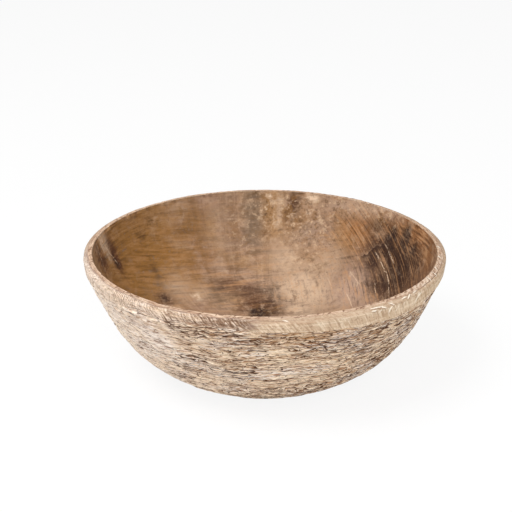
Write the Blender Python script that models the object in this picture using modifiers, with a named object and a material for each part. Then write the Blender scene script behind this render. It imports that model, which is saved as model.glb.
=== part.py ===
# A shallow bowl made from one piece of horn: a turned shell with a flat foot,
# an even wall and a rasped band round the outside of its rim.

from math import cos, pi, radians, sin, tan

import bpy
from mathutils import Vector
from mathutils.geometry import interpolate_bezier

# Main sizes, in metres
RIM_DIAMETER = 0.1800  # across the widest line of the band
HEIGHT = 0.0635
FOOT_DIAMETER = 0.0850  # flat face that the bowl stands on
WALL_AT_RIM = 0.0043
FLOOR_THICKNESS = 0.0060

# Rim: the band is rasped smooth, and the rough wall below starts a little inside it
BAND_HEIGHT = 0.0062
BAND_TAPER = 0.0004  # the band draws in by this much down to its lower edge
BAND_STEP = 0.0005
BAND_STEP_DROP = 0.0003
SHOULDER_WIDTH = 0.0016  # from the flat top of the rim out to the widest line
SHOULDER_DROP = 0.0024
SHOULDER_SLOPE = 35.0  # degrees below level where the shoulder leaves the flat top
LIP_RADIUS = 0.0006  # inner edge of the rim

# Wall lines, in degrees: the foot line is measured from level, the side lines from upright
FOOT_RISE = 23.5
SIDE_LEAN = 21.5
INSIDE_LEAN = 16.0

# How far the wall follows each line before it bends, as a share of the way to where they meet
FOOT_FOLLOW = 1.0
SIDE_FOLLOW = 0.63

# Facets
TURN_STEPS = 96
WALL_POINTS = 17
INSIDE_POINTS = 19
SHOULDER_POINTS = 5
LIP_POINTS = 4
SHARP_ANGLE = 30.0  # degrees

# Colour of the horn, mid tone of its cream and brown
HORN_COLOUR = (0.54, 0.37, 0.24, 1.0)
HORN_ROUGHNESS = 0.5

rim_radius = RIM_DIAMETER / 2
foot_radius = FOOT_DIAMETER / 2
inner_radius = rim_radius - WALL_AT_RIM
inside_depth = HEIGHT - FLOOR_THICKNESS


def point(radius, height):
    return Vector((radius, 0.0, height))


def clear_scene():
    for thing in list(bpy.data.objects):
        bpy.data.objects.remove(thing, do_unlink=True)


def inside_curve():
    """From the middle of the floor up to the lip, along the floor line and then the inner side line."""
    lip_foot = point(inner_radius, HEIGHT - LIP_RADIUS)
    side_meets_floor = point(inner_radius - inside_depth * tan(radians(INSIDE_LEAN)), FLOOR_THICKNESS)
    floor_bends = point(foot_radius, FLOOR_THICKNESS)
    floor_centre = point(0.0, FLOOR_THICKNESS)
    return interpolate_bezier(floor_centre, floor_bends, side_meets_floor, lip_foot, INSIDE_POINTS)


def lip_curve():
    """Rounded inner edge, from the inner wall over to the flat top of the rim."""
    centre = point(inner_radius + LIP_RADIUS, HEIGHT - LIP_RADIUS)
    turns = [pi / 2 * step / (LIP_POINTS - 1) for step in range(1, LIP_POINTS)]
    return [centre + LIP_RADIUS * Vector((-cos(turn), 0.0, sin(turn))) for turn in turns]


def shoulder_curve():
    """From the outer edge of the flat top down to the widest line of the band."""
    top = point(rim_radius - SHOULDER_WIDTH, HEIGHT)
    widest = point(rim_radius, HEIGHT - SHOULDER_DROP)
    leave = point(rim_radius - SHOULDER_WIDTH / 2, HEIGHT - SHOULDER_WIDTH / 2 * tan(radians(SHOULDER_SLOPE)))
    arrive = point(rim_radius, HEIGHT - SHOULDER_DROP / 2)
    return interpolate_bezier(top, leave, arrive, widest, SHOULDER_POINTS)


def wall_top():
    """Where the rough wall starts, under the step of the band."""
    return point(rim_radius - BAND_TAPER - BAND_STEP, HEIGHT - BAND_HEIGHT - BAND_STEP_DROP)


def wall_curve():
    """From under the band down to the edge of the foot, bending where the side line meets the foot line."""
    top = wall_top()
    foot_edge = point(foot_radius, 0.0)
    side_slope = tan(radians(SIDE_LEAN))
    foot_slope = tan(radians(FOOT_RISE))
    meeting_height = (top.x - foot_radius - top.z * side_slope) / (1 / foot_slope - side_slope)
    meeting = point(foot_radius + meeting_height / foot_slope, meeting_height)
    side_bend = top.lerp(meeting, SIDE_FOLLOW)
    foot_bend = foot_edge.lerp(meeting, FOOT_FOLLOW)
    return interpolate_bezier(top, side_bend, foot_bend, foot_edge, WALL_POINTS)


def bowl_profile():
    """Half section, from the middle of the floor over the rim to the middle of the foot."""
    band_foot = point(rim_radius - BAND_TAPER, HEIGHT - BAND_HEIGHT)
    foot_centre = point(0.0, 0.0)
    return [
        *inside_curve(),
        *lip_curve(),
        *shoulder_curve(),
        band_foot,
        *wall_curve(),
        foot_centre,
    ]


def horn_material():
    material = bpy.data.materials.new("horn")
    material.use_nodes = True
    shader = material.node_tree.nodes["Principled BSDF"]
    shader.inputs["Base Color"].default_value = HORN_COLOUR
    shader.inputs["Roughness"].default_value = HORN_ROUGHNESS
    shader.inputs["Metallic"].default_value = 0.0
    return material


def turned(name, profile, collection):
    """Turns a half section once round the Z axis."""
    edges = [(index, index + 1) for index in range(len(profile) - 1)]
    mesh = bpy.data.meshes.new(name)
    mesh.from_pydata(profile, edges, [])
    piece = bpy.data.objects.new(name, mesh)
    collection.objects.link(piece)
    screw = piece.modifiers.new("Turn", "SCREW")
    screw.axis = "Z"
    screw.steps = TURN_STEPS
    screw.render_steps = TURN_STEPS
    screw.use_merge_vertices = True
    screw.merge_threshold = 0.00001
    bpy.context.view_layer.objects.active = piece
    piece.select_set(True)
    bpy.ops.object.modifier_apply(modifier=screw.name)
    piece.data.shade_smooth()
    piece.data.set_sharp_from_angle(angle=radians(SHARP_ANGLE))
    return piece


def main():
    clear_scene()
    collection = bpy.data.collections.new("horn_bowl")
    bpy.context.scene.collection.children.link(collection)
    bowl = turned("bowl", bowl_profile(), collection)
    bowl.data.materials.append(horn_material())


main()
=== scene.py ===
"""Looks of the horn bowl: its flaky skin, rasped rim and clouded, scraped inside, in a plain studio."""

from math import cos, pi, radians, sin, tan

import bpy
import numpy as np
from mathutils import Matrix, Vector, noise
from mathutils.geometry import interpolate_bezier


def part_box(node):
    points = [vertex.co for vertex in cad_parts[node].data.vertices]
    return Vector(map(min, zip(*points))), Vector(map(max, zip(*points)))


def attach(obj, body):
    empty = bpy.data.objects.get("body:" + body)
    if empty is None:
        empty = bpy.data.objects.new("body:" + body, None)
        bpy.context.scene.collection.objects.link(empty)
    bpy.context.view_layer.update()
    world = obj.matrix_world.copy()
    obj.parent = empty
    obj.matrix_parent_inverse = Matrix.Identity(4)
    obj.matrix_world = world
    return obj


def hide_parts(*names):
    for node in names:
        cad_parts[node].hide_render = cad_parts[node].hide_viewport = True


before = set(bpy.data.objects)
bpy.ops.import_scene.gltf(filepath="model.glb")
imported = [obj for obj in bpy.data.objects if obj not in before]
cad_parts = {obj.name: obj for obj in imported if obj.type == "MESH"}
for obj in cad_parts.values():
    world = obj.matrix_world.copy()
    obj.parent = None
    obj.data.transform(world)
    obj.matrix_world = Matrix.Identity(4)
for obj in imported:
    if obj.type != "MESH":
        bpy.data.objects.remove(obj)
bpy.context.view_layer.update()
bowl_low, bowl_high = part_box("bowl")

MM = 0.001

# Half section of the bowl, the same as the solid's but for the fall of the flat top. Angles are in degrees
RIM_RADIUS = (bowl_high[0] - bowl_low[0]) / 2
HEIGHT = bowl_high[2] - bowl_low[2]
FOOT_RADIUS = 42.5 * MM
WALL_AT_RIM = 4.3 * MM
FLOOR_THICKNESS = 6.0 * MM
BAND_HEIGHT = 6.2 * MM
BAND_TAPER = 0.4 * MM
BAND_STEP = 0.5 * MM
BAND_STEP_DROP = 0.3 * MM
SHOULDER_WIDTH = 1.6 * MM
SHOULDER_DROP = 2.4 * MM
SHOULDER_SLOPE = 35.0
LIP_RADIUS = 0.6 * MM
TOP_FALL = 0.8 * MM
FOOT_RISE = 23.5
SIDE_LEAN = 21.5
INSIDE_LEAN = 16.0
SIDE_FOLLOW = 0.63

# Fineness of the mesh
COLUMNS = 376
RIM_COLUMNS = 2 * COLUMNS
INSIDE_RING = 2.8 * MM
LIP_RINGS = 4
RIM_RING = 0.6 * MM
WALL_RING = 0.42 * MM
FOOT_RING = 8.0 * MM
CURVE_POINTS = 400

# Strip on which the bowl is unrolled: where it is cut, its bare edge, and how high the lip, dish and foot lie
CUT_TURN = 108.0
STRIP_EDGE = 0.005
LIP_LEVEL = 0.62
DISH_LEVEL = 0.95
DISH_RADIUS = 30.0 * MM
FOOT_LEVEL = 0.06

# Noise in the relief: its length round the bowl and down it, and a shift that sets it apart from the rest
WARP_NOISE = (18.0 * MM, 6.0 * MM, 3.1)
FLAKE_NOISE = (8.0 * MM, 1.1 * MM, 11.7)
CHIP_NOISE = (5.0 * MM, 0.8 * MM, 29.3)
LUMP_NOISE = (15.0 * MM, 6.0 * MM, 47.9)
WEAR_NOISE = (20.0 * MM, 8.0 * MM, 61.3)
WANDER_NOISE = (12.0 * MM, 12.0 * MM, 83.0)
RAGGED_NOISE = (7.0 * MM, 7.0 * MM, 53.7)
FRAYED_NOISE = (2.5 * MM, 2.5 * MM, 13.9)
DIP_NOISE = (9.0 * MM, 4.0 * MM, 5.3)
RIPPLE_NOISE = (2.4 * MM, 3.0 * MM, 71.9)
NICK_NOISE = (4.0 * MM, 2.0 * MM, 97.1)
HOLLOW_NOISE = (17.0 * MM, 13.0 * MM, 19.7)
SCRAPE_NOISE = (8.0 * MM, 7.0 * MM, 37.3)

# Flaky skin: thin layers down the bowl, broken into flakes that are long round it, rougher where it is smoky
LAYER_PITCH = 1.6 * MM
LAYER_WARP = 0.8
LAYER_SHARE = 0.16
FLAKE_WARP = 0.6
FLAKE_SHARE = 0.9
FLAKE_RELIEF = 0.42 * MM
GROOVE_SHARE = 1.2
CHIP_RELIEF = 0.22 * MM
LUMP_RELIEF = 0.22 * MM
STEP_WIDTH = 0.12
ROUGH_RANGE = (-0.35, 0.25)
SMOKE_ROUGHENS = 0.5
BLEACH_SMOOTHS = 0.2
FOOT_FADE = 2.5 * MM
GROUND = 0.001 * MM

# How much of the relief goes under the rasp, near the foot and in the hatched part
RASP_SMOOTHS = 0.94
FOOT_SMOOTHS = 0.8
HATCH_SMOOTHS = 0.25

# Rasped band: how its strokes lean, as a turn about the axis for each metre down, and how it ends below
RASP_TWIST = -8.5
LEFT_TWIST = 7.0
LIP_TWIST = 12.0
RASP_PITCH = 1.8 * MM
RASP_END = BAND_HEIGHT + 0.1 * MM
EDGE_FADE = 0.2 * MM
FOOT_WANDER = 0.5 * MM
FOOT_FRAY = 0.6
WANDER_REACH = 1.5 * MM
BAND_DROP = 2.5 * MM
DROP_FADE = 30.0 * MM
DROP_STARTS = (2.0, 44.0)
DROP_ENDS = (36.0, 80.0)

# Left of the front, between these angles, the band is hatched, has no step and is smooth on its top alone
LEFT_STARTS = (-95.0, -75.0)
LEFT_ENDS = (-8.0, 2.0)
LEFT_WANDER = 5.0
FAR_LEFT_ENDS = (-64.0, -36.0)
SMOOTH_TOP = (2.0 * MM, 2.7 * MM)
TOP_WANDER = 0.5 * MM
FILL_DEPTH = 3.5 * BAND_HEIGHT
HATCH_DEPTH = 6.0 * MM
HATCH_GROWTH = 3.0 * MM
HATCH_FADE = 3.0 * MM
HATCH_WANDER = 2.0 * MM
CROWDED_PAST = -36.0
CROWDING = 0.7

# Wear of the rim: how far down and out it reaches, and how deep its dips, ripples and nicks are
WORN_DEPTH = (0.4 * MM, 2.4 * MM)
WORN_LIP = (0.9 * MM, 2.2 * MM)
TOP_DIP = 0.14 * MM
TOP_RIPPLE = 0.10 * MM
NICK_DEPTH = 1.2 * MM
NICK_RARITY = 0.28
LIP_DIP = 0.25 * MM
LIP_RIPPLE = 0.26 * MM

# Hollows in the scraped inside, and how far from the lip they are full
HOLLOW_DEPTH = 0.30 * MM
SCRAPE_DEPTH = 0.12 * MM
LIP_CLEAR = 6.0 * MM

# Places on the skin: angle from the front towards the right in degrees, then depth below the rim, reach round
# and reach down in millimetres, then strength
SKIN_SPOTS = {
    # Smoky places darken and roughen the skin; the wide spot at 8 degrees, 50 mm down, is painted shade low
    # on the wall
    "smoke": [
        (-12, 7.5, 16, 4, 0.9), (-10, 4, 18, 3.5, 1.0), (-25, 7, 12, 3, 0.7), (-2, 11, 13, 5, 0.9),
        (17, 16, 15, 6, 0.75), (38, 11, 22, 4, 0.65), (50, 18, 18, 9, 0.5), (44, 33, 18, 9, 0.5),
        (-45, 26, 10, 4, 0.4), (-42, 6.2, 5, 1.6, 0.5), (31, 27, 14, 8, 0.6), (8, 50, 50, 10, 0.5),
        (-18, 26, 13, 8, 0.7), (-24, 12, 8, 4, 0.4), (100, 15, 30, 8, 0.8), (150, 14, 20, 6, 0.9),
        (-140, 20, 16, 7, 0.8),
    ],
    "ochre": [
        (8, 7.6, 9, 1.6, 1.0), (20, 7.4, 9, 1.4, 0.9), (11, 9.8, 14, 2.6, 0.8), (-35, 12, 9, 3, 0.7),
        (-14, 9, 9, 2, 0.7), (62, 9, 12, 2, 0.7), (-22, 17, 8, 4, 0.6), (-9, 26, 8, 4, 0.45),
    ],
    "scored": [(-46, 4, 10, 4.5, 1.0), (-22, 3.5, 7, 3, 0.6)],
    "chipped": [
        (62, 1, 34, 3, 0.6), (37, 3.2, 6, 1.6, 1.4), (44, 3, 3, 1.6, 1.2), (51, 3.2, 4, 1.6, 1.4),
        (-40, 1.5, 5, 2, 0.6), (140, 1, 30, 3, 0.6),
    ],
    "dry": [(60, 5, 30, 5, 1.0), (20, 6, 10, 2, 0.4), (-160, 5, 40, 5, 0.6)],
    "dull": [(155, 0, 85, 6, 1.0)],
    "bare": [(18, 2, 30, 8, 1.0), (120, 2, 30, 8, 1.0)],
    "seam": [(62, 1.5, 22, 4, 1.0), (4, 1.5, 8, 4, 0.6), (-150, 1.5, 30, 4, 0.8)],
    # Pale, bleached places with fewer dark marks; on the left of the front also painted light where the light
    # falls
    "bleach": [
        (-70, 20, 50, 40, 1.0), (-35, 16, 16, 12, 1.0), (3, 33, 10, 6, 0.35), (175, 35, 30, 20, 0.7),
    ],
}

# Clouds in the scraped inside, given the same way, with the radius in place of the depth
CLOUDS = {
    "olive": [(-115, 75, 50, 16, 1.0), (-142, 80, 26, 8, 0.6), (40, 80, 35, 9, 0.7)],
    "straw": [
        (177, 81.5, 9, 9, 0.7), (165, 70, 22, 8, 0.6), (143, 79, 10, 5, 0.9), (-120, 66, 22, 8, 0.5),
        (0, 70, 25, 8, 0.6),
    ],
    "brown": [
        (107, 79, 36, 13, 1.3), (132, 81, 14, 8, 0.6), (180, 46, 15, 11, 1.1), (-160, 57, 12, 7, 0.85),
        (-172, 53, 12, 8, 0.8), (174, 51, 10, 6, 0.9), (-119, 61, 8, 5, 0.9), (-40, 78, 34, 12, 0.8),
    ],
    "rust": [
        (140, 81.8, 11, 6, 0.8), (112, 84.6, 25, 3, 1.0), (95, 84, 18, 4, 0.65), (-10, 83, 25, 4, 0.6),
    ],
    "grey": [
        (-175, 81, 7, 10, 0.95), (160, 78, 9, 5, 0.65), (132, 67.5, 7, 6, 0.55), (-154, 53, 10, 7, 0.6),
        (70, 60, 12, 10, 0.6),
    ],
    "tan": [
        (157, 56, 19, 12, 1.0), (153, 42, 10, 7, 1.0), (149, 70, 14, 7, 0.6), (169, 69, 12, 8, 0.75),
        (134, 58, 9, 8, 0.6), (161, 85, 7, 1.5, 0.6), (174, 82, 2.2, 4.5, 0.68),
        (145, 84.5, 18, 1.8, 0.6), (136, 85.3, 20, 1.3, 0.8), (-131, 64, 11, 8, 0.6),
        # The spot at -101 degrees, radius 84, is a painted glint near the lip on the left
        (-141, 58, 8, 5, 0.55), (-101, 84, 4, 4, 0.7), (-112, 75.5, 3.5, 6, 0.3), (-100, 77, 3, 3, 0.35),
        (-161, 80, 9, 9, 0.4), (20, 55, 25, 14, 0.8),
    ],
    "rose": [
        (131, 63, 13, 9, 0.9), (160, 78, 14, 6, 0.5), (115, 60, 14, 7, 0.6), (146, 84.2, 20, 2.4, 0.5),
        (128, 85.3, 16, 1.4, 0.7),
    ],
    "russet": [
        (-104, 80.6, 4, 4, 1.0), (-92, 82.5, 7, 3, 0.9), (120, 78, 20, 6, 0.6), (110, 72, 10, 5, 0.7),
        (-178, 44, 15, 8, 0.6), (168.5, 84, 4, 1.3, 0.9), (171, 80.2, 2.6, 1.8, 0.6),
        (179, 77, 3, 1.3, 0.6),
    ],
    "cream": [
        (161, 85.1, 3.5, 0.8, 1.2), (162, 82.4, 1.2, 0.4, 1.2), (178, 84.8, 2, 0.5, 0.8),
        (176.5, 83.6, 1.4, 0.5, 0.9), (173.5, 84, 2, 1.2, 0.6), (176, 79.6, 1.3, 1.2, 0.6),
        (174, 79.6, 1, 1.2, 0.6), (169, 81, 1.5, 0.8, 0.6), (172, 77.5, 0.9, 0.35, 1.1),
        (171, 76, 1, 0.35, 1.0), (135, 68.5, 1.8, 1.2, 0.6), (129.5, 66.5, 1.6, 1.4, 0.6),
        (-138, 56.4, 3, 2.5, 0.7), (-171, 39.5, 2, 1.6, 0.6), (180, 55, 2, 1.6, 0.5),
        # The spots at -97.5 and -99 degrees, near the lip on the left, are painted glints
        (-97.5, 85.2, 3, 3, 0.8), (-99, 83.4, 2, 3, 0.6), (30, 78, 5, 3, 0.7),
    ],
    "umber": [
        (178, 45, 7, 4, 0.6), (-177, 37.5, 6, 3.4, 1.6), (172, 37.8, 5, 2.2, 0.8), (174, 41, 5, 3, 0.6),
        (123, 80, 9, 5, 0.75), (130, 81.4, 5, 2.4, 0.5), (122, 80.3, 4.5, 3.2, 1.5),
        (114, 82.4, 4, 2.6, 1.4), (130, 82.6, 6, 1.6, 0.8), (107, 80.4, 4, 2.8, 1.2),
        (-176, 85.5, 3, 1, 0.5), (172, 84.7, 3, 0.8, 0.6), (163, 79.1, 2.6, 1.2, 0.5),
        (126, 76.5, 9, 5, 0.8), (112, 75.7, 16, 8, 1.0), (103, 80, 14, 4, 0.7), (118, 70, 12, 6, 0.6),
        (106, 68, 12, 6, 0.55), (168, 83.8, 5, 4, 0.55), (-103, 79.8, 1.6, 2, 0.8),
        (-124, 81.7, 5, 1.6, 0.5), (-131, 83.4, 5, 1.4, 0.5), (-124, 72, 3, 5, 0.45),
        (-119, 62, 4, 3, 0.8), (-156, 58, 3, 2.4, 0.5), (-173, 50, 9, 6, 0.25), (174, 50, 10, 5, 0.62),
        (178, 56, 9, 4, 0.48), (-40, 80, 18, 7, 0.6),
    ],
    "speckled": [
        (179, 82.5, 9, 4, 1.0), (169, 81.5, 12, 6, 1.0), (160, 80, 12, 7, 0.9), (160, 70, 14, 6, 0.6),
        (148, 84.2, 20, 2.6, 0.9), (129, 85.2, 15, 1.6, 0.9), (-172, 78, 16, 8, 0.5),
        (155, 57, 22, 10, 0.35), (178, 41, 9, 5, 0.5),
    ],
    "streaky": [
        (180, 47, 20, 12, 1.0), (-166, 56, 16, 8, 0.8), (150, 80, 14, 6, 0.8), (128, 83, 12, 5, 0.7),
    ],
    "ring_strokes": [(0, 75, 75, 25, 1.0), (97, 84.6, 26, 3, 0.9), (-102, 84.5, 40, 4, 1.0)],
    "slant_strokes": [(112, 78, 42, 16, 1.0), (138, 82, 22, 7, 1.0)],
    "steep_strokes": [(150, 57, 26, 11, 0.7), (125, 64, 20, 8, 1.0)],
}

# Colours of the clouds, as a picture shows them, each after the share of grit in the cloud's edge
CLOUD_SHADES = {
    "olive": (0.0, (147, 105, 56)),
    "straw": (0.4, (158, 120, 80)),
    "brown": (0.0, (106, 76, 56)),
    "rust": (0.3, (150, 103, 64)),
    "grey": (0.2, (126, 104, 84)),
    "tan": (0.2, (194, 166, 140)),
    "rose": (0.2, (176, 147, 128)),
    "russet": (0.5, (92, 58, 38)),
    "cream": (1.6, (220, 192, 164)),
    "umber": (0.4, (50, 35, 30)),
}

# Cracks and scratches in the inside, in sets whose lines keep clear of each other: two ends (angle in
# degrees, radius in millimetres), how pale the line is and how dark the painted shade beside it is
CUTS = {
    "cut": [
        ((-98.5, 84.6), (-103.2, 79.6), 0.8, 0.2), ((127, 77), (113.5, 72.4), 0.9, 0.3),
        ((113.5, 72.4), (106.5, 68.8), 0.8, 0.3), ((132, 60.9), (122.5, 56.4), 0.7, 0.0),
    ],
    "scratch": [
        ((-93, 85.2), (-90, 81), 0.6, 0.3), ((123.5, 79.5), (116, 77.1), 0.8, 0.2),
        ((136, 69.2), (128.5, 66.6), 0.6, 0.0), ((119.5, 69), (115.5, 66.4), 0.7, 0.0),
        ((148, 66), (141, 60), 0.4, 0.0),
    ],
    "step": [
        ((134, 75.4), (125.5, 79.8), 0.1, 0.9), ((161, 67), (137, 74.9), 0.12, 0.1),
    ],
}
CUT_FADE = 0.8 * MM
CUT_REACH = 5.0 * MM

# Slivers that curl up from the rim, given the same way, with the run from the lip in place of the radius
# The dark beside each sliver is painted shadow under it
CURLS = {
    "curl": [
        ((31.6, 3.4), (34.6, 3.8), 1.0, 0.5), ((38.2, 3.4), (39.3, 4.6), 0.9, 0.5),
        ((45.6, 4.5), (47.2, 3.3), 1.0, 0.5), ((60.6, 0.8), (60.2, 2.9), 1.0, 0.8),
        ((69, 0.8), (68.6, 2), 0.9, 0.5), ((79, 0.4), (78.2, 1.6), 0.9, 0.8),
        ((88, 0.3), (87, 1.3), 0.9, 0.7), ((5.4, 3.2), (6.4, 3.7), 0.8, 0.4),
        ((-41, 2.8), (-39.6, 3.6), 0.4, 0.5), ((142, 3.2), (144, 3.8), 0.9, 0.5),
        ((-152, 3.4), (-150, 3), 0.9, 0.5),
    ],
    "shaving": [
        ((31.4, 4.6), (32.8, 4.8), 1.0, 0.6), ((34.7, 3.9), (36.2, 4.8), 1.0, 0.4),
        ((43.7, 3.6), (45.3, 3.6), 1.0, 0.6), ((49, 3.4), (51, 3), 0.7, 0.6),
        ((65.3, 0.9), (65, 2.9), 0.9, 0.6), ((75.6, 2.6), (75, 3.4), 0.2, 1.0),
        ((148, 3.6), (149.6, 3.2), 0.9, 0.5),
    ],
}
CURL_FADE = 0.3 * MM
CURL_REACH = 1.2 * MM
CURL_LIFT = 0.3 * MM
CURL_WIDTH = 0.5

# How fast a spot fades: with this, to about half its strength at its reach
SPOT_FALL = 0.7

# What the rows of points hold for the shape, and isn't handed on as a mark
LAYOUT = {"place", "normal", "run", "angle", "columns"}

# Cells of the broken skin: how many for each metre along x, along y and down the bowl, and their strength
SKIN_CELLS = [((110, 100, 600), 1.0), ((270, 250, 1300), 0.85)]
CELL_BEND = 6.0 * MM
CELL_FRAY = 0.35 * MM

# Directions across the strokes of the scraper
LEVEL_STROKES = (-0.1, 0.42, 0.88)
SLANT_STROKES = (0.55, -0.27, 0.79)
STEEP_STROKES = (1.0, 0.0, 0.25)

# Gloss of the horn, its range of roughness, and the strength and depth of its finest relief
HORN_GLOSS = 0.1
SKIN_ROUGHNESS = (0.62, 0.85)
INSIDE_ROUGHNESS = (0.48, 0.66)
SKIN_BUMP = (0.5, 0.35 * MM)
INSIDE_BUMP = (0.4, 0.3 * MM)

# Studio: lamps by place, size and power, a floor that shows white to the camera, and a white sky whose light
# on the bowl is weaker
LAMPS = {
    "key_lamp": ((-0.50, -0.45, 1.15), 0.6, 12.5),
    "front_lamp": ((0.35, -1.05, 0.75), 0.9, 6.5),
}
FLOOR_SIZE = 40.0
FLOOR_WHITE = (0.9, 0.9, 0.9, 1.0)
FLOOR_GLOW = 0.88
SKY_WHITE = (1.0, 1.0, 1.0, 1.0)
SKY_LIGHT = 0.5

# Camera, from the outline of the bowl in the photograph
CAMERA_DISTANCE = 0.540
CAMERA_ELEVATION = 24.3
CAMERA_AIM = Vector((-0.0043, 0.0, 0.0568))
CAMERA_LENS = 73.94
CAMERA_SENSOR = 36.0


def smoothstep(low, high, value):
    share = np.clip((value - low) / (high - low), 0.0, 1.0)
    return share * share * (3.0 - 2.0 * share)


def noise_at(x, y, down, kind):
    """Smooth noise between about -1 and 1 at every point."""
    length, height, shift = kind
    places = zip(x / length + shift, y / length - shift, down / height)
    return np.array([noise.noise(place) for place in places])


def bezier(*corners):
    points = interpolate_bezier(*(Vector((radius, 0.0, height)) for radius, height in corners), CURVE_POINTS)
    return np.array([(point.x, point.z) for point in points])


def evenly(points, spacing):
    """The same line with points at an even spacing, without its last point."""
    points = np.asarray(points, float)
    run = np.append(0.0, np.cumsum(np.hypot(*np.diff(points, axis=0).T)))
    count = max(1, round(run[-1] / spacing))
    at = np.linspace(0.0, run[-1], count + 1)[:-1]
    return np.column_stack([np.interp(at, run, points[:, 0]), np.interp(at, run, points[:, 1])])


def inside_section():
    """From near the middle of the floor to the start of the lip."""
    inner = RIM_RADIUS - WALL_AT_RIM
    side_meets_floor = inner - (HEIGHT - FLOOR_THICKNESS) * tan(radians(INSIDE_LEAN))
    curve = bezier(
        (0.0, FLOOR_THICKNESS),
        (FOOT_RADIUS, FLOOR_THICKNESS),
        (side_meets_floor, FLOOR_THICKNESS),
        (inner, HEIGHT - LIP_RADIUS),
    )
    return np.concatenate([evenly(curve, INSIDE_RING)[1:], curve[-1:]])


def band_foot():
    return (RIM_RADIUS - BAND_TAPER, HEIGHT - BAND_HEIGHT)


def rim_section():
    """Over the rounded lip, the flat top and the shoulder, and down the band."""
    lip_middle = RIM_RADIUS - WALL_AT_RIM + LIP_RADIUS
    turns = np.linspace(0.0, pi / 2, LIP_RINGS, endpoint=False)[1:]
    lip = np.column_stack([
        lip_middle - LIP_RADIUS * np.cos(turns),
        HEIGHT - LIP_RADIUS + LIP_RADIUS * np.sin(turns),
    ])
    top_edge = (RIM_RADIUS - SHOULDER_WIDTH, HEIGHT - TOP_FALL)
    widest = (RIM_RADIUS, HEIGHT - SHOULDER_DROP)
    leave_drop = TOP_FALL + SHOULDER_WIDTH / 2 * tan(radians(SHOULDER_SLOPE))
    shoulder = bezier(
        top_edge,
        (RIM_RADIUS - SHOULDER_WIDTH / 2, HEIGHT - leave_drop),
        (RIM_RADIUS, HEIGHT - SHOULDER_DROP / 2),
        widest,
    )
    return np.concatenate([
        lip,
        evenly([(lip_middle, HEIGHT), top_edge], RIM_RING),
        evenly(shoulder, RIM_RING),
        evenly([widest, band_foot()], RIM_RING),
        [band_foot()],
    ])


def wall_section():
    """From under the band down the wall to the middle of the foot."""
    foot_of_band = band_foot()
    wall_top = (foot_of_band[0] - BAND_STEP, foot_of_band[1] - BAND_STEP_DROP)
    side_slope = tan(radians(SIDE_LEAN))
    foot_slope = tan(radians(FOOT_RISE))
    meeting_height = (wall_top[0] - FOOT_RADIUS - wall_top[1] * side_slope) / (1 / foot_slope - side_slope)
    meeting = np.array((FOOT_RADIUS + meeting_height / foot_slope, meeting_height))
    side_bend = np.array(wall_top) + SIDE_FOLLOW * (meeting - wall_top)
    wall = bezier(wall_top, side_bend, meeting, (FOOT_RADIUS, 0.0))
    return np.concatenate([
        evenly(wall, WALL_RING),
        evenly([(FOOT_RADIUS, 0.0), (0.0, 0.0)], FOOT_RING),
    ])


def rings(section, columns, run_before=0.0):
    """Turns a half section into rows of points. The angle is counted from the front towards the right."""
    tangent = np.gradient(section, axis=0)
    tangent /= np.hypot(*tangent.T)[:, None]
    run = run_before + np.append(0.0, np.cumsum(np.hypot(*np.diff(section, axis=0).T)))
    angle = np.linspace(-pi, pi, columns, endpoint=False)
    row = np.repeat(np.arange(len(section)), columns)
    turn = np.tile(angle, len(section))
    out = np.stack([np.sin(turn), -np.cos(turn), np.zeros_like(turn)], axis=1)
    normal = out * -tangent[row, 1:2]
    normal[:, 2] = tangent[row, 0]
    place = out * section[row, 0:1]
    place[:, 2] = section[row, 1]
    return {"place": place, "normal": normal, "run": run[row], "angle": turn, "columns": columns}


def round_from(points, turn):
    """How far each point lies round the bowl from an angle, and its radius."""
    radius = np.hypot(*points["place"][:, :2].T)
    return np.angle(np.exp(1j * (points["angle"] - radians(turn)))) * radius, radius


def raise_points(points, height):
    points["place"] = points["place"] + points["normal"] * height[:, None]


def spots(points, level, places):
    """Soft-edged spots: full strength in the middle of a place, falling to 0 well outside its reach."""
    total = np.zeros(len(level))
    for turn, middle, along, across, strength in places:
        away, _ = round_from(points, turn)
        far = (away / (along * MM)) ** 2 + ((level - middle * MM) / (across * MM)) ** 2
        total = np.maximum(total, strength * np.exp(-SPOT_FALL * far))
    return total


def cut_fields(points, level, name, cuts, fade, reach):
    """How far each point lies to one side of the nearest cut, and how much of its line and shade it takes."""
    run = points["run"]
    side = np.full(len(run), reach)
    best = np.zeros(len(run))
    pale = np.zeros(len(run))
    dark = np.zeros(len(run))
    for (turn_from, level_from), (turn_to, level_to), line_strength, shade_strength in cuts:
        away, radius = round_from(points, turn_from)
        start = np.array([0.0, np.interp(level_from * MM, level, run)])
        end_round = radians(turn_to - turn_from) * np.interp((level_from + level_to) / 2 * MM, level, radius)
        along = np.array([end_round, np.interp(level_to * MM, level, run)]) - start
        length = np.hypot(*along)
        along /= length
        at = np.column_stack([away, run]) - start
        forward = at @ along
        sideways = at @ np.array([-along[1], along[0]])
        past = np.maximum(np.maximum(-forward, forward - length), 0.0)
        near = np.exp(-((past / fade) ** 2) - (sideways / reach) ** 2)
        nearest = near > best
        side = np.where(nearest, sideways, side)
        pale = np.where(nearest, line_strength * near, pale)
        dark = np.where(nearest, shade_strength * near, dark)
        best = np.maximum(best, near)
    return {name: side / MM, name + "_pale": pale, name + "_dark": dark}


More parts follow.
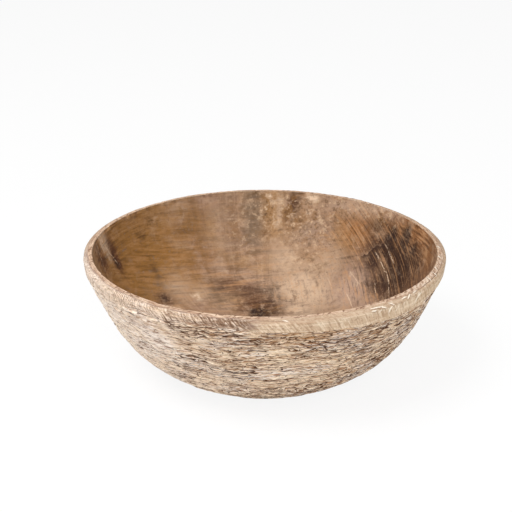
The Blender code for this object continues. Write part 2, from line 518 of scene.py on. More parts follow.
def flake_relief(points):
    """How far the flakes, chips and lumps of the skin stand out at each point."""
    x, y, _ = points["place"].T
    run = points["run"]
    warp = noise_at(x, y, run, WARP_NOISE)
    layers = np.sin(2.0 * pi * (run / LAYER_PITCH + LAYER_WARP * warp))
    flake = noise_at(x, y, run + FLAKE_WARP * warp * FLAKE_NOISE[1], FLAKE_NOISE)
    flake = FLAKE_SHARE * flake + LAYER_SHARE * layers
    chip = noise_at(x, y, run + FLAKE_WARP * warp * CHIP_NOISE[1], CHIP_NOISE)
    lump = noise_at(x, y, run, LUMP_NOISE)
    wear = noise_at(x, y, run, WEAR_NOISE)
    wear += SMOKE_ROUGHENS * points["smoke"] - BLEACH_SMOOTHS * points["bleach"]
    rough = smoothstep(*ROUGH_RANGE, wear)
    step = np.tanh(flake / STEP_WIDTH)
    groove = np.exp(-((flake / STEP_WIDTH) ** 2))
    relief = FLAKE_RELIEF / 2 * rough * (step - GROOVE_SHARE * groove)
    return relief + CHIP_RELIEF / 2 * np.tanh(chip / STEP_WIDTH) + LUMP_RELIEF * lump


def dress_skin(points):
    """Adds what the skin does at each point: its worn places, flakes and rasped band, and moves the point."""
    x, y, z = points["place"].T
    run = points["run"]
    depth = HEIGHT - z
    turn = np.degrees(points["angle"])
    for name, places in SKIN_SPOTS.items():
        points[name] = spots(points, depth, places)

    # Rasped band: crisp on the right and behind, short and hatched on the left of the front
    wander = noise_at(x, y, z, WANDER_NOISE)
    left = smoothstep(*LEFT_STARTS, turn) * (1.0 - smoothstep(*LEFT_ENDS, turn + LEFT_WANDER * wander))
    far_left = left * (1.0 - smoothstep(*FAR_LEFT_ENDS, turn))
    rasped = 1.0 - smoothstep(RASP_END, RASP_END + EDGE_FADE, depth)
    rasped *= 1.0 - left * smoothstep(*SMOOTH_TOP, run + TOP_WANDER * wander)
    lean = run * (RASP_TWIST + (LEFT_TWIST - RASP_TWIST) * far_left)
    crowded = np.minimum(points["angle"] - radians(CROWDED_PAST), 0.0)
    rasp = (points["angle"] + lean + CROWDING * crowded) * RIM_RADIUS / RASP_PITCH
    hatch_end = HATCH_DEPTH + HATCH_GROWTH * far_left
    hatch = left * (1.0 - smoothstep(hatch_end - HATCH_FADE, hatch_end, depth + HATCH_WANDER * wander))
    points.update(rasped=rasped, hatch=hatch, lean=lean, rasp=rasp)

    # Relief: smoothed by the rasp, never below the ground, and filled up where the band has no step
    foot = smoothstep(FOOT_FADE, 0.0, z)
    relief = flake_relief(points)
    relief *= (1.0 - RASP_SMOOTHS * rasped) * (1.0 - FOOT_SMOOTHS * foot) * (1.0 - HATCH_SMOOTHS * hatch)
    relief = np.where(z < GROUND, -np.abs(relief), relief)
    under_band = smoothstep(BAND_HEIGHT, BAND_HEIGHT + EDGE_FADE, depth)
    fill = BAND_STEP * left * under_band * (1.0 - smoothstep(BAND_HEIGHT, FILL_DEPTH, depth))
    raise_points(points, relief + fill)

    level = np.zeros_like(z)
    ragged = noise_at(x, y, level, RAGGED_NOISE) + FOOT_FRAY * noise_at(x, y, level, FRAYED_NOISE)
    points["place"][:, 2] += FOOT_WANDER * ragged * np.exp(-(((depth - BAND_HEIGHT) / WANDER_REACH) ** 2))
    slide_band(points, depth, turn)


def slide_band(points, depth, turn):
    """Makes the band deeper towards the right: the points near its foot slide down the wall."""
    share = np.clip((depth - SHOULDER_DROP) / (BAND_HEIGHT - SHOULDER_DROP), 0.0, 1.0)
    share *= np.clip(1.0 - (depth - BAND_HEIGHT) / DROP_FADE, 0.0, 1.0)
    slide = BAND_DROP * share * smoothstep(*DROP_STARTS, turn) * (1.0 - smoothstep(*DROP_ENDS, turn))
    out = np.stack([np.sin(points["angle"]), -np.cos(points["angle"])], axis=1)
    outward = np.sum(points["normal"][:, :2] * out, axis=1)
    points["place"][:, :2] += out * (slide * points["normal"][:, 2])[:, None]
    points["place"][:, 2] -= slide * outward


def wear_rim(points):
    """Small dips, nicks and ripples along the lip and the flat top."""
    x, y, z = points["place"].T
    run = points["run"]
    near_top = 1.0 - smoothstep(*WORN_DEPTH, HEIGHT - z)
    near_lip = 1.0 - smoothstep(*WORN_LIP, run)
    slanted = points["angle"] + LIP_TWIST * run
    dip = noise_at(x, y, run, DIP_NOISE)
    ripple = noise_at(RIM_RADIUS * np.sin(slanted), RIM_RADIUS * np.cos(slanted), run, RIPPLE_NOISE)
    nick = np.maximum(noise_at(x, y, run, NICK_NOISE) - NICK_RARITY, 0.0)
    out = points["place"][:, :2] / np.hypot(x, y)[:, None]
    points["place"][:, 2] += near_top * (TOP_DIP * dip + TOP_RIPPLE * ripple - NICK_DEPTH * nick)
    points["place"][:, :2] += out * (near_lip * (LIP_DIP * dip + LIP_RIPPLE * ripple))[:, None]


def lift_curls(points):
    """Slivers stand a little out of the rim."""
    for name in CURLS:
        raise_points(points, CURL_LIFT * points[name + "_pale"] * np.exp(-((points[name] / CURL_WIDTH) ** 2)))


def scrape_inside(points):
    """Shallow hollows left by scraping, which die out towards the lip."""
    x, y, z = points["place"].T
    hollow = HOLLOW_DEPTH * noise_at(x, y, z, HOLLOW_NOISE) + SCRAPE_DEPTH * noise_at(x, y, z, SCRAPE_NOISE)
    raise_points(points, hollow * smoothstep(0.0, LIP_CLEAR, HEIGHT - z))


def dressed_zones():
    """The inside, the rim and the wall as rows of points, with their marks and their relief."""
    inside = rings(inside_section(), COLUMNS)
    rim = rings(rim_section(), RIM_COLUMNS)
    wall = rings(wall_section(), COLUMNS, rim["run"].max() + BAND_STEP)
    radius = np.hypot(*inside["place"][:, :2].T)
    for name, places in CLOUDS.items():
        inside[name] = spots(inside, radius, places)
    for name, cuts in CUTS.items():
        inside.update(cut_fields(inside, radius, name, cuts, CUT_FADE, CUT_REACH))
    for name, cuts in CURLS.items():
        rim.update(cut_fields(rim, rim["run"], name, cuts, CURL_FADE, CURL_REACH))
    scrape_inside(inside)
    dress_skin(rim)
    wear_rim(rim)
    lift_curls(rim)
    dress_skin(wall)
    return inside, rim, wall


def steps_round(first, columns):
    """Pairs of neighbouring points round a ring."""
    return [(first + column, first + (column + 1) % columns) for column in range(columns)]


def grid_faces(first, rows, columns):
    """Quads between neighbouring rows of points, each row closed round the axis."""
    faces = []
    for row in range(rows - 1):
        for here, after in steps_round(first + row * columns, columns):
            faces.append((here, here + columns, after + columns, after))
    return faces


def fan_faces(centre, first, columns, outward):
    """Triangles from one ring to the point at its middle."""
    return [(centre, *(step if outward else step[::-1])) for step in steps_round(first, columns)]


def seam_faces(coarse_first, fine_first, coarse_above):
    """Joins a ring to one with twice as many points."""
    faces = []
    for column, (here, after) in enumerate(steps_round(coarse_first, COLUMNS)):
        near, middle, far = (fine_first + (2 * column + step) % RIM_COLUMNS for step in range(3))
        triangles = [(here, near, middle), (here, middle, after), (after, middle, far)]
        faces += triangles if coarse_above else [triangle[::-1] for triangle in triangles]
    return faces


def bowl_mesh():
    zones = dressed_zones()
    inside_first, rim_first, wall_first, floor_point = np.cumsum([0] + [len(zone["place"]) for zone in zones])
    inside_rows, rim_rows, wall_rows = (len(zone["place"]) // zone["columns"] for zone in zones)
    foot_point = floor_point + 1
    places = np.concatenate([zone["place"] for zone in zones] + [[(0, 0, FLOOR_THICKNESS), (0, 0, 0)]])
    inside_faces = fan_faces(floor_point, inside_first, COLUMNS, True)
    inside_faces += grid_faces(inside_first, inside_rows, COLUMNS)
    skin_faces = seam_faces(rim_first - COLUMNS, rim_first, True)
    skin_faces += grid_faces(rim_first, rim_rows, RIM_COLUMNS)
    skin_faces += seam_faces(wall_first, wall_first - RIM_COLUMNS, False)
    skin_faces += grid_faces(wall_first, wall_rows, COLUMNS)
    skin_faces += fan_faces(foot_point, floor_point - COLUMNS, COLUMNS, False)

    mesh = bpy.data.meshes.new("horn_bowl")
    mesh.from_pydata(places.tolist(), [], inside_faces + skin_faces)
    wears_skin = np.zeros(len(mesh.polygons), np.int32)
    wears_skin[len(inside_faces):] = 1
    mesh.polygons.foreach_set("material_index", wears_skin)
    write_marks(mesh, zones, places)
    mesh.shade_smooth()
    top_edge_row = np.argmin(np.abs(rim_section()[:, 0] - (RIM_RADIUS - SHOULDER_WIDTH)))
    top_edge = rim_first + top_edge_row * RIM_COLUMNS
    mark_sharp(mesh, [
        range(top_edge, top_edge + RIM_COLUMNS),
        range(wall_first - RIM_COLUMNS, wall_first),
        range(wall_first, wall_first + COLUMNS),
    ])
    mesh.validate()
    unroll(mesh, *strip_places(*zones), floor_point)
    return mesh


def write_marks(mesh, zones, places):
    """Hands every mark on the points to the materials. The middles of the floor and of the foot have none."""
    run = np.concatenate([zone["run"] for zone in zones] + [[0.0, zones[-1]["run"].max()]])
    grain = np.column_stack([places[:, :2], run])
    mesh.attributes.new("grain", "FLOAT_VECTOR", "POINT").data.foreach_set("vector", grain.ravel())
    for name in sorted(set().union(*zones) - LAYOUT):
        values = [zone.get(name, np.zeros(len(zone["place"]))) for zone in zones]
        values = np.concatenate(values + [[0.0, 0.0]])
        mesh.attributes.new(name, "FLOAT", "POINT").data.foreach_set("value", values)


def strip_places(inside, rim, wall):
    """Angle of each point and how high it lies on the unrolled strip, with the two middles last."""
    inside_run = inside["run"]
    longest = wall["run"].max()
    skin_run = np.concatenate([rim["run"], wall["run"]])
    angle = np.concatenate([inside["angle"], rim["angle"], wall["angle"], [0.0, 0.0]])
    level = np.concatenate([
        np.interp(inside_run, [0.0, DISH_RADIUS, inside_run.max()], [1.0, DISH_LEVEL, LIP_LEVEL]),
        np.interp(skin_run, [0.0, longest - FOOT_RADIUS, longest], [LIP_LEVEL, FOOT_LEVEL, 0.0]),
        [1.0, 0.0],
    ])
    return angle, level


def whole_numbers(items, name, each=1):
    """A whole number, or so many of them, from every item of a mesh."""
    values = np.empty(each * len(items), np.int32)
    items.foreach_get(name, values)
    return values


def unroll(mesh, angle, level, first_middle):
    """Lays the bowl out as one strip: round it across, and from the foot over the lip to the dish up."""
    point = whole_numbers(mesh.loops, "vertex_index")
    corners = whole_numbers(mesh.polygons, "loop_total")
    face = np.repeat(np.arange(len(corners)), corners)
    across = (angle[point] - radians(CUT_TURN)) / (2.0 * pi) % 1.0
    in_middle = point >= first_middle
    across[in_middle] = 0.0
    last = np.zeros(len(corners))
    np.maximum.at(last, face, across)
    across[~in_middle] += (last[face] - across > 0.5)[~in_middle]
    np.maximum.at(last, face, across)
    across[in_middle] = (last[face] - 0.5 / COLUMNS)[in_middle]
    strip = np.column_stack([across * COLUMNS / (COLUMNS + 1), level[point]])
    strip = STRIP_EDGE + (1.0 - 2.0 * STRIP_EDGE) * strip
    mesh.uv_layers.new(name="OFBake").data.foreach_set("uv", strip.ravel())


def mark_sharp(mesh, rows):
    """Keeps the edges along the given rows of points crisp."""
    row_of = np.full(len(mesh.vertices), -1)
    for number, row in enumerate(rows):
        row_of[list(row)] = number
    near, far = row_of[whole_numbers(mesh.edges, "vertices", 2).reshape(-1, 2)].T
    sharp = (near >= 0) & (near == far)
    mesh.attributes.new("sharp_edge", "BOOLEAN", "EDGE").data.foreach_set("value", sharp)


class Graph:
    """The nodes of one material or of the world. Most calls add a node and return its output."""

    def __init__(self, holder):
        holder.use_nodes = True
        self.holder = holder
        self.tree = holder.node_tree

    def fill(self, node, inputs):
        """Gives each of the inputs its value or its link."""
        for key, value in inputs.items():
            if isinstance(value, bpy.types.NodeSocket):
                self.tree.links.new(value, node.inputs[key])
            else:
                node.inputs[key].default_value = value

    def add(self, kind, inputs, output=0, **settings):
        """Adds a node and returns one of its outputs."""
        node = self.tree.nodes.new("ShaderNode" + kind)
        for name, value in settings.items():
            setattr(node, name, value)
        self.fill(node, inputs)
        return node.outputs[output]

    def mark(self, name, output="Fac"):
        """A mark that the points of the mesh carry."""
        return self.add("Attribute", {}, output, attribute_name=name)

    def seen(self):
        """1 where the camera looks, straight or by a reflection, and 0 where light bounces on to the bowl."""
        share = self.add("LightPath", {}, "Is Camera Ray")
        rays = share.node.outputs
        for ray in ("Is Glossy Ray", "Is Transmission Ray"):
            share = self.math("MAXIMUM", share, rays[ray])
        return share

    def math(self, operation, *values):
        return self.add("Math", dict(enumerate(values)), operation=operation)

    def plus(self, value, factor, more):
        """A value plus so many times another."""
        return self.math("MULTIPLY_ADD", more, factor, value)

    def less(self, value, factor=1.0):
        """What is left of 1 without so many times the value."""
        return self.math("MULTIPLY_ADD", value, -factor, 1.0)

    def times(self, *values):
        product = values[0]
        for value in values[1:]:
            product = self.math("MULTIPLY", product, value)
        return product

    def size(self, value):
        return self.math("ABSOLUTE", value)

    def vector_math(self, operation, *values):
        output = "Value" if operation == "DOT_PRODUCT" else "Vector"
        return self.add("VectorMath", dict(enumerate(values)), output, operation=operation)

    def scaled(self, vector, scale):
        return self.vector_math("MULTIPLY", vector, scale)

    def stretched(self, place, direction, slow, fast):
        """A space in which noise is drawn out across the direction: fast along it, slow every other way."""
        direction = Vector(direction).normalized()
        along = self.vector_math("DOT_PRODUCT", place, direction)
        every_way = self.scaled(place, (slow, slow, slow))
        return self.vector_math("MULTIPLY_ADD", along, direction * fast, every_way)

    def separated(self, vector, axis):
        return self.add("SeparateXYZ", {0: vector}, axis)

    def noise(self, vector, detail, roughness, distortion=0.0):
        inputs = {"Vector": vector, "Scale": 1.0, "Detail": detail, "Roughness": roughness}
        return self.add("TexNoise", {**inputs, "Distortion": distortion}, "Fac")

    def waves(self, place, waves, detail=2.0, roughness=0.6):
        """Noise with so many waves for each metre along each axis of a place."""
        return self.noise(self.scaled(place, waves), detail, roughness)

    def cells(self, vector):
        """Cells of a broken layer: how near the edge, two chances for each cell, how low in the cell."""
        inputs = {"Vector": vector, "Scale": 1.0}
        hue = self.add("TexVoronoi", inputs, "Color", feature="F1")
        edge = self.add("TexVoronoi", inputs, "Distance", feature="DISTANCE_TO_EDGE")
        chances = self.add("SeparateColor", {0: hue}).node.outputs
        middle = hue.node.outputs["Position"]
        low = self.math("SUBTRACT", self.separated(vector, "Z"), self.separated(middle, "Z"))
        return edge, chances[0], chances[1], low

    def span(self, value, low, high, to_low=0.0, to_high=1.0):
        """Eases from one value to another as the input goes from low to high."""
        inputs = {"Value": value, "From Min": low, "From Max": high, "To Min": to_low, "To Max": to_high}
        return self.add("MapRange", inputs, "Result", interpolation_type="SMOOTHSTEP")

    def mix(self, factor, first, second):
        return self.add("Mix", {0: factor, 6: first, 7: second}, 2, data_type="RGBA")

    def blend(self, factor, first, second):
        return self.add("Mix", {0: factor, 2: first, 3: second})

    def tint(self, tone, shade, *shares):
        """Lays a colour over a tone, by the product of the shares."""
        return self.mix(self.times(*shares), tone, colour(*shade))

    def layered(self, tone, layers):
        """Lays colours over a tone in turn, each rising to a strength as its pattern goes from low to high.

        A layer holds the colour, the pattern, low, high, the strength and any further shares.
        """
        for shade, pattern, low, high, strength, *shares in layers:
            tone = self.tint(tone, shade, self.span(pattern, low, high, 0.0, strength), *shares)
        return tone

    def bump(self, height, strength, distance):
        return self.add("Bump", {"Height": height, "Strength": strength, "Distance": distance}, "Normal")

    def finish_horn(self, tone, roughness, normal):
        """Gives the shader its colour, its dull gloss and its fine relief."""
        self.fill(self.tree.nodes["Principled BSDF"], {
            "Base Color": tone,
            "Roughness": roughness,
            "Specular IOR Level": HORN_GLOSS,
            "Normal": normal,
        })
        return self.holder


def colour(red, green, blue):
    """A colour as a picture shows it, 0 to 255, as the light that a shader works with."""
    shares = np.array([red, green, blue]) / 255.0
    light = np.where(shares <= 0.04045, shares / 12.92, ((shares + 0.055) / 1.055) ** 2.4)
    return (*light.tolist(), 1.0)


def skin_material():
    graph = Graph(bpy.data.materials.new("horn_skin"))
    grain = graph.mark("grain", "Vector")
    fine = graph.waves(grain, (260, 260, 1700))
    warm = graph.waves(grain, (150, 150, 400), 3.0, 0.5)
    tone, height = flake_tone(graph, grain, fine, warm)
    tone = hatch_tone(graph, grain, tone)
    rasped = graph.mark("rasped")
    tone = graph.mix(rasped, tone, band_tone(graph, grain))
    # Painted shade, greyish mauve, along the outer edge of the smooth top on the left of the front
    rim_edge_shade = graph.span(graph.size(graph.math("SUBTRACT", rasped, 0.5)), 0.45, 0.15)
    hatch = graph.mark("hatch")
    tone = graph.layered(tone, [((148, 122, 110), warm, 0.36, 0.50, 0.65, rim_edge_shade, hatch)])
    roughness = graph.span(fine, 0.3, 0.7, *SKIN_ROUGHNESS)
    return graph.finish_horn(tone, roughness, graph.bump(height, *SKIN_BUMP))


def flake_tone(graph, grain, fine, warm):
    """Cream to brown flakes with painted highlights on curled edges and painted shadow in cracks, and how
    high they stand.
    """
    smoke = graph.mark("smoke")
    bleach = graph.mark("bleach")
    plain = graph.less(bleach, 0.8)
    whole = graph.less(graph.mark("hatch"), 0.2)
    broad = graph.span(graph.waves(grain, (55, 55, 100), 3.0, 0.5), 0.3, 0.7)
    cool = graph.span(graph.waves(grain, (50, 50, 90), 3.0, 0.5), 0.44, 0.60)
    short = graph.waves(grain, (230, 230, 900))
    waver = graph.waves(grain, (40, 40, 80), 2.0, 0.5)
    ragged = graph.waves(grain, (260, 260, 500))
    bent = graph.vector_math("MULTIPLY_ADD", waver, (0.0, 0.0, CELL_BEND), grain)
    bent = graph.vector_math("MULTIPLY_ADD", ragged, (0.0, 0.0, CELL_FRAY), bent)

    tone = graph.mix(broad, colour(186, 147, 109), colour(211, 176, 139))
    # Darker where smoky, and painted shade low on the front of the wall
    tone = graph.tint(tone, (148, 113, 86), smoke, 0.8)
    # Paler where bleached, and a painted highlight on the left of the front
    tone = graph.tint(tone, (224, 209, 201), bleach)
    tone = graph.layered(tone, [((202, 152, 104), warm, 0.56, 0.66, 0.7, plain)])
    tone = graph.tint(tone, (203, 174, 152), cool, 0.25)
    # Tones of the painted highlight on the curled flake edges and of the painted shadow in the cracks
    curl_highlight_tone = graph.mix(cool, colour(246, 226, 200), colour(240, 227, 214))
    gap_shadow_tone = graph.mix(cool, colour(84, 54, 36), colour(80, 57, 46))
    dark = 0.0
    height = graph.times(fine, 0.5)
    for pitch, strength in SKIN_CELLS:
        edge, chance, other_chance, low = graph.cells(graph.scaled(bent, pitch))
        tone = graph.layered(tone, [
            ((148, 108, 80), chance, 0.40, 0.0, 0.55 * strength, plain, whole),
            ((231, 205, 174), chance, 0.60, 1.0, 0.75 * strength, plain, whole),
        ])
        # Painted highlight along the lifted lower edge of each flake
        curl = graph.times(graph.span(edge, 0.32, 0.20), graph.span(low, 0.08, 0.2, 0.0, strength), whole)
        tone = graph.mix(curl, tone, curl_highlight_tone)
        # Painted shadow in the cracks between the flakes
        open_share = graph.plus(graph.plus(other_chance, -0.5, bleach), 0.38, smoke)
        gap_shadow = graph.times(graph.span(edge, 0.14, 0.07), graph.span(open_share, 0.46, 0.80))
        gap_shadow = graph.times(gap_shadow, graph.span(graph.size(low), 0.08, 0.18), whole)
        dark = graph.math("MAXIMUM", dark, gap_shadow)
        height = graph.plus(height, strength, graph.span(edge, 0.02, 0.16))
        height = graph.plus(height, 0.6 * strength, low)
    tone = graph.layered(tone, [
        ((237, 213, 187), fine, 0.43, 0.39, 0.7, whole),
        ((116, 82, 58), graph.plus(fine, 0.06, smoke), 0.61, 0.64, 0.75, whole),
        ((248, 235, 222), short, 0.44, 0.38, 0.9, bleach),
        ((112, 84, 66), short, 0.58, 0.63, 0.75, bleach),
        ((164, 118, 72), warm, 0.40, 0.55, 0.8, graph.mark("ochre")),
    ])
    return graph.mix(dark, tone, gap_shadow_tone), height


def hatch_tone(graph, grain, tone):
    """Short leaning strokes, torn slivers and scored lines on the left of the front, with painted sheen
    between lines.
    """
    smoke = graph.mark("smoke")
    hatch = graph.mark("hatch")
    scored = graph.mark("scored")
    strokes = rasp_marks(graph, grain, 420, 120)
    slivers = rasp_marks(graph, grain, 850, 230, 1.5)
    drift = graph.waves(grain, (90, 90, 60), 2.0, 0.5)
    phase = graph.plus(graph.plus(graph.mark("rasp"), 1.5, drift), 1.0, strokes)
    away = graph.math("PINGPONG", phase, 0.5)
    line_number = graph.math("ROUND", phase)
    chance = graph.add("TexWhiteNoise", {"W": line_number}, "Value", noise_dimensions="1D")
    depth_of_line = graph.span(chance, 0.1, 0.6)
    line_share = graph.plus(graph.plus(0.5, 0.35, smoke), 0.4, scored)
    broken = graph.plus(graph.waves(grain, (140, 140, 170), 3.0, 0.7), 0.14, scored)
    broken = graph.times(hatch, graph.span(graph.plus(broken, 0.06, smoke), 0.45, 0.55))
    tone = graph.tint(tone, (186, 158, 135), hatch, 0.3)
    tone = graph.tint(tone, (124, 93, 71), hatch, smoke, 0.75)
    return graph.layered(tone, [
        ((98, 70, 52), strokes, 0.56, 0.64, 1.0, hatch, graph.plus(0.2, 0.6, smoke)),
        ((230, 208, 188), strokes, 0.44, 0.36, 0.4, hatch),
        ((92, 66, 50), slivers, 0.44, 0.39, 1.0, hatch, graph.plus(0.35, 0.5, smoke)),
        ((238, 219, 200), slivers, 0.59, 0.63, 0.65, hatch),
        # Painted sheen between the scored lines, weaker where the skin is smoky
        ((230, 206, 184), away, 0.33, 0.42, 1.0, broken, graph.plus(0.5, -0.4, smoke)),
        ((98, 70, 52), away, 0.18, 0.06, 1.0, broken, line_share, depth_of_line),
    ])


def rasp_marks(graph, grain, across, along, turned=1.0):
    """Leaning strokes: streaks up and down the band, in a space that is twisted about the axis."""
    lean = graph.times(graph.mark("lean"), turned)
    twisted = graph.add("VectorRotate", {"Vector": grain, "Angle": lean}, rotation_type="Z_AXIS")
    return graph.waves(twisted, (across, across, along))


def band_tone(graph, grain):
    """Yellowish rasped horn, with a peach top inside the crisp edge."""
    run = graph.separated(grain, "Z")
    chipped = graph.mark("chipped")
    dry = graph.mark("dry")
    torn_edge = graph.mark("seam")
    broad = graph.waves(grain, (70, 70, 120), 3.0, 0.5)
    marks = rasp_marks(graph, grain, 1100, 130)
    nicks = rasp_marks(graph, grain, 560, 240, -1.4)
    fine = graph.waves(grain, (200, 200, 900), 3.0)
    pores = graph.waves(grain, (900, 900, 1100))
    along = graph.waves(grain, (110, 110, 2400))
    layers = graph.waves(grain, (45, 45, 900), 3.0)

    # Below the edge
    band = graph.mix(graph.span(broad, 0.3, 0.7), colour(185, 157, 129), colour(205, 181, 155))
    band = graph.tint(band, (224, 197, 162), dry, 0.40)
    band = graph.layered(band, [
        ((168, 136, 106), layers, 0.52, 0.64, 0.40),
        ((236, 216, 190), layers, 0.48, 0.36, 0.45),
        ((142, 108, 80), marks, 0.54, 0.64, 0.44),
        ((234, 217, 192), marks, 0.46, 0.36, 0.48),
        ((132, 98, 70), pores, 0.60, 0.68, 0.5),
        ((172, 142, 118), run, 5.6 * MM, 4.4 * MM, 0.45),
        ((240, 226, 206), nicks, 0.60, 0.64, 0.9, chipped),
    ])

    # Flat top and lip, with painted highlight along the lip and painted shade at the top's outer edge
    top = graph.mix(graph.span(fine, 0.36, 0.64), colour(176, 141, 116), colour(210, 181, 155))
    top = graph.layered(top, [
        ((150, 120, 102), along, 0.55, 0.62, 0.6),
        ((228, 205, 182), along, 0.45, 0.38, 0.7),
        ((128, 94, 72), pores, 0.62, 0.69, 0.6),
        # Painted highlight along the lip
        ((228, 194, 164), run, 1.2 * MM, 0.4 * MM, 0.6),
        # Painted shade where the top turns down at its outer edge
        ((160, 134, 120), run, 2.2 * MM, 3.0 * MM, 0.6, graph.less(dry)),
        ((120, 86, 64), nicks, 0.43, 0.37, 0.85, graph.span(run, 2.8 * MM, 1.8 * MM)),
    ])
    top = graph.tint(top, (224, 198, 174), torn_edge, 0.4)
    top = graph.tint(top, (164, 129, 104), graph.mark("dull"), graph.span(fine, 0.42, 0.56, 0.3, 0.8))
    top = graph.layered(top, [
        ((130, 96, 74), nicks, 0.48, 0.42, 0.7, chipped),
        ((236, 220, 202), nicks, 0.54, 0.60, 0.85, chipped),
    ])

    # Edge between the two, and the slivers that curl up from it, with painted shadow beside each
    border = graph.plus(run, 1.4 * MM, graph.mark("bare"))
    tone = graph.mix(graph.span(border, 3.0 * MM, 3.3 * MM), top, band)
    edge = graph.plus(graph.math("SUBTRACT", run, 3.7 * MM), 1.2 * MM, fine)
    tone = graph.layered(tone, [((84, 58, 42), graph.size(edge), 0.26 * MM, 0.06 * MM, 0.8, torn_edge)])
    for name in CURLS:
        side = graph.plus(graph.mark(name), 0.8, graph.math("SUBTRACT", pores, 0.5))
        tone = graph.layered(tone, [
            # Painted shadow beside each sliver
            ((112, 80, 58), side, 0.1, 0.4, 1.0, graph.span(side, 1.0, 0.5), graph.mark(name + "_dark")),
            ((248, 237, 220), graph.size(side), 0.4, 0.15, 1.0, graph.mark(name + "_pale")),
        ])
    return tone


def stroke_kinds(graph, level, others):
    """Level strokes, giving way to other kinds where the inside is marked for them."""
    for name, strokes in others.items():
        level = graph.blend(graph.mark(name), level, strokes)
    return level


def inside_material():
    graph = Graph(bpy.data.materials.new("horn_inside"))
    grain = graph.mark("grain", "Vector")
    place = graph.add("TexCoord", {}, "Object")
    mottle = graph.noise(graph.scaled(place, (110, 110, 140)), 5.0, 0.7, 0.5)
    tooth = graph.waves(place, (520, 520, 700), 3.0)
    rings_round = graph.waves(grain, (70, 70, 800), 3.0, 0.65)
    strokes = graph.noise(graph.stretched(place, LEVEL_STROKES, 40, 280), 5.0, 0.64, 0.3)
    strokes = stroke_kinds(graph, strokes, {
        "slant_strokes": graph.noise(graph.stretched(place, SLANT_STROKES, 22, 240), 5.0, 0.66),
        "steep_strokes": graph.noise(graph.stretched(place, STEEP_STROKES, 60, 330), 5.0, 0.66),
        "ring_strokes": rings_round,
    })
    streaks = graph.noise(graph.stretched(place, LEVEL_STROKES, 70, 560), 2.0, 0.6, 0.3)
    streaks = stroke_kinds(graph, streaks, {
        "slant_strokes": graph.noise(graph.stretched(place, SLANT_STROKES, 36, 1000), 2.0, 0.6),
        "steep_strokes": graph.noise(graph.stretched(place, STEEP_STROKES, 90, 800), 2.0, 0.6),
        "ring_strokes": rings_round,
    })
    tone = cloud_tone(graph, grain, place, mottle, tooth, strokes)
    tone = stroke_tone(graph, tone, strokes, streaks)
    tone = worn_tone(graph, tone, mottle, tooth)
    roughness = graph.span(mottle, 0.3, 0.7, *INSIDE_ROUGHNESS)
    return graph.finish_horn(tone, roughness, graph.bump(strokes, *INSIDE_BUMP))


def cloud_tone(graph, grain, place, mottle, tooth, strokes):
    """Brown horn with uneven clouds, streaks up the wall and speckles."""
    cloud = graph.waves(place, (30, 30, 30), 5.0)
    hue = graph.waves(place, (55, 55, 55), 4.0)
    facing = graph.vector_math("NORMALIZE", graph.scaled(place, (1, 1, 0)))
    columns = graph.waves(facing, (9, 9, 9), 5.0, 0.65)
    wall = graph.span(graph.separated(grain, "Z"), 28.0 * MM, 58.0 * MM)
    tone = graph.mix(graph.span(cloud, 0.32, 0.68), colour(141, 109, 84), colour(166, 136, 112))
    tone = graph.layered(tone, [
        ((160, 121, 72), hue, 0.50, 0.66, 0.4),
        ((152, 121, 104), hue, 0.48, 0.34, 0.4),
        ((108, 80, 58), columns, 0.50, 0.64, 0.48, wall),
        ((189, 157, 128), columns, 0.50, 0.36, 0.36, wall),
    ])
    uneven = graph.times(graph.math("SUBTRACT", mottle, 0.5), 1.1)
    uneven = graph.plus(uneven, 0.7, graph.math("SUBTRACT", strokes, 0.5))
    grit = graph.math("SUBTRACT", tooth, 0.5)
    for name, (grit_share, shade) in CLOUD_SHADES.items():
        share = graph.plus(graph.math("ADD", graph.mark(name), uneven), grit_share, grit)
        tone = graph.tint(tone, shade, graph.span(share, 0.15, 0.95))
    speckled = graph.mark("speckled")
    speck = graph.waves(place, (330, 330, 330), 4.0, 0.72)
    return graph.layered(tone, [
        ((146, 104, 56), mottle, 0.50, 0.60, 0.6, speckled),
        ((208, 178, 146), speck, 0.54, 0.62, 0.85, speckled),
        ((98, 72, 50), speck, 0.46, 0.38, 0.85, speckled),
    ])


def stroke_tone(graph, tone, strokes, streaks):
    """Dark and light strokes of the scraper, broad and then fine, the light ones partly a painted sheen."""
    olive = graph.mark("olive")
    slant = graph.mark("slant_strokes")
    even = graph.less(graph.mark("speckled"), 0.8)
    deep = graph.times(graph.plus(0.22, 0.28, slant), even)
    lit = graph.times(graph.mark("umber"), graph.plus(-0.8, 0.4, slant))
    lit = graph.math("ADD", lit, 1.0)
    crisp = graph.plus(graph.plus(0.06, 0.22, olive), 0.50, slant)
    crisp = graph.plus(crisp, 0.22, graph.mark("steep_strokes"))
    crisp = graph.plus(crisp, 0.4, graph.mark("streaky"))
    crisp = graph.times(crisp, even)
    light_tone = graph.mix(olive, colour(195, 157, 122), colour(172, 128, 78))
    tone = graph.layered(tone, [((64, 42, 28), strokes, 0.50, 0.66, 1.0, deep)])
    # Light strokes: pale scraper marks, partly a painted sheen
    tone = graph.mix(graph.times(graph.span(strokes, 0.50, 0.34), deep, lit), tone, light_tone)
    return graph.layered(tone, [
        ((58, 36, 24), streaks, 0.53, 0.60, 1.0, crisp),
        # Light streaks, partly a painted sheen
        ((190, 142, 98), streaks, 0.47, 0.40, 1.0, crisp, lit),
    ])


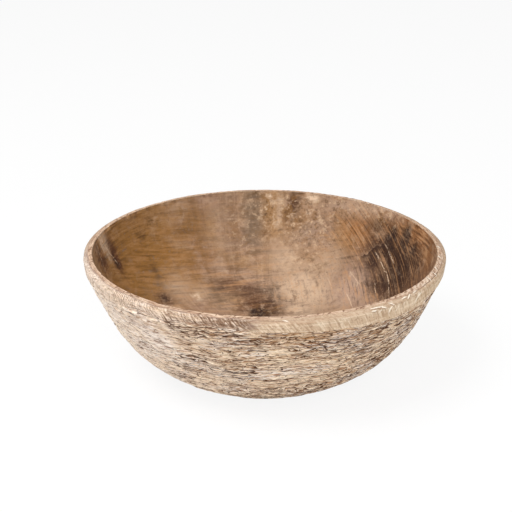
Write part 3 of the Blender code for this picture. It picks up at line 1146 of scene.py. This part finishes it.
def worn_tone(graph, tone, mottle, tooth):
    """Fine dirt and glints over everything, and then the cracks and scratches, with painted shade on one side
    of each.
    """
    pale_share = graph.less(graph.mark("olive"), 0.7)
    tone = graph.layered(tone, [
        ((80, 56, 40), tooth, 0.54, 0.70, 0.30),
        ((206, 170, 136), tooth, 0.46, 0.30, 0.15, pale_share),
        ((96, 68, 48), mottle, 0.52, 0.68, 0.30),
        ((203, 173, 144), mottle, 0.48, 0.32, 0.25, pale_share),
    ])
    stray = graph.plus(graph.math("SUBTRACT", mottle, 0.5), 0.4, graph.math("SUBTRACT", tooth, 0.5))
    for name in CUTS:
        dark = graph.mark(name + "_dark")
        pale = graph.mark(name + "_pale")
        side = graph.plus(graph.mark(name), graph.plus(1.5, 7.0, dark), stray)
        tone = graph.layered(tone, [
            # Painted shade on one side of each crack, scratch and step
            ((58, 40, 32), side, 0.0, 0.5, 1.0, graph.span(side, 4.5, 0.6), dark),
            ((214, 186, 158), graph.size(side), 0.45, 0.1, 1.0, graph.span(tooth, 0.40, 0.52), pale),
        ])
    return tone


def floor_material():
    """White to the camera, and plain pale where it throws light back at the bowl."""
    graph = Graph(bpy.data.materials.new("studio_floor"))
    shader = graph.tree.nodes["Principled BSDF"]
    graph.fill(shader, {"Base Color": FLOOR_WHITE, "Roughness": 1.0, "Specular IOR Level": 0.0})
    glow_share = graph.times(graph.seen(), FLOOR_GLOW)
    both = graph.add("MixShader", {0: glow_share, 1: shader.outputs[0], 2: graph.add("Emission", {})})
    graph.fill(graph.tree.nodes["Material Output"], {"Surface": both})
    return graph.holder


def put_facing(name, data, place, aim):
    """Puts a lamp or a camera at a place, facing a point."""
    holder = bpy.data.objects.new(name, data)
    holder.location = place
    holder.rotation_euler = (aim - holder.location).to_track_quat("-Z", "Y").to_euler()
    bpy.context.scene.collection.objects.link(holder)
    return holder


def build_studio():
    bpy.ops.mesh.primitive_plane_add(size=FLOOR_SIZE)
    floor = bpy.context.object
    floor.name = "studio_floor"
    floor.data.materials.append(floor_material())
    sky = Graph(bpy.data.worlds.new("studio"))
    strength = sky.span(sky.seen(), 0.0, 1.0, SKY_LIGHT, 1.0)
    sky.fill(sky.tree.nodes["Background"], {"Color": SKY_WHITE, "Strength": strength})
    bpy.context.scene.world = sky.holder
    for name, (place, size, power) in LAMPS.items():
        lamp = bpy.data.lights.new(name, "AREA")
        lamp.size = size
        lamp.energy = power
        put_facing(name, lamp, place, Vector())


def build_camera():
    camera = bpy.data.cameras.new("camera")
    camera.sensor_width = CAMERA_SENSOR
    camera.lens = CAMERA_LENS
    lift = radians(CAMERA_ELEVATION)
    middle = Vector((0.0, 0.0, HEIGHT / 2))
    place = middle + CAMERA_DISTANCE * Vector((0.0, -cos(lift), sin(lift)))
    bpy.context.scene.camera = put_facing("camera", camera, place, CAMERA_AIM)


def build_bowl():
    bowl = bpy.data.objects.new("horn_bowl", bowl_mesh())
    bowl.data.materials.append(inside_material())
    bowl.data.materials.append(skin_material())
    bpy.context.scene.collection.objects.link(bowl)
    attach(bowl, "root")
    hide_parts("bowl")


bpy.context.scene.view_settings.view_transform = "Standard"
build_bowl()
build_studio()
build_camera()
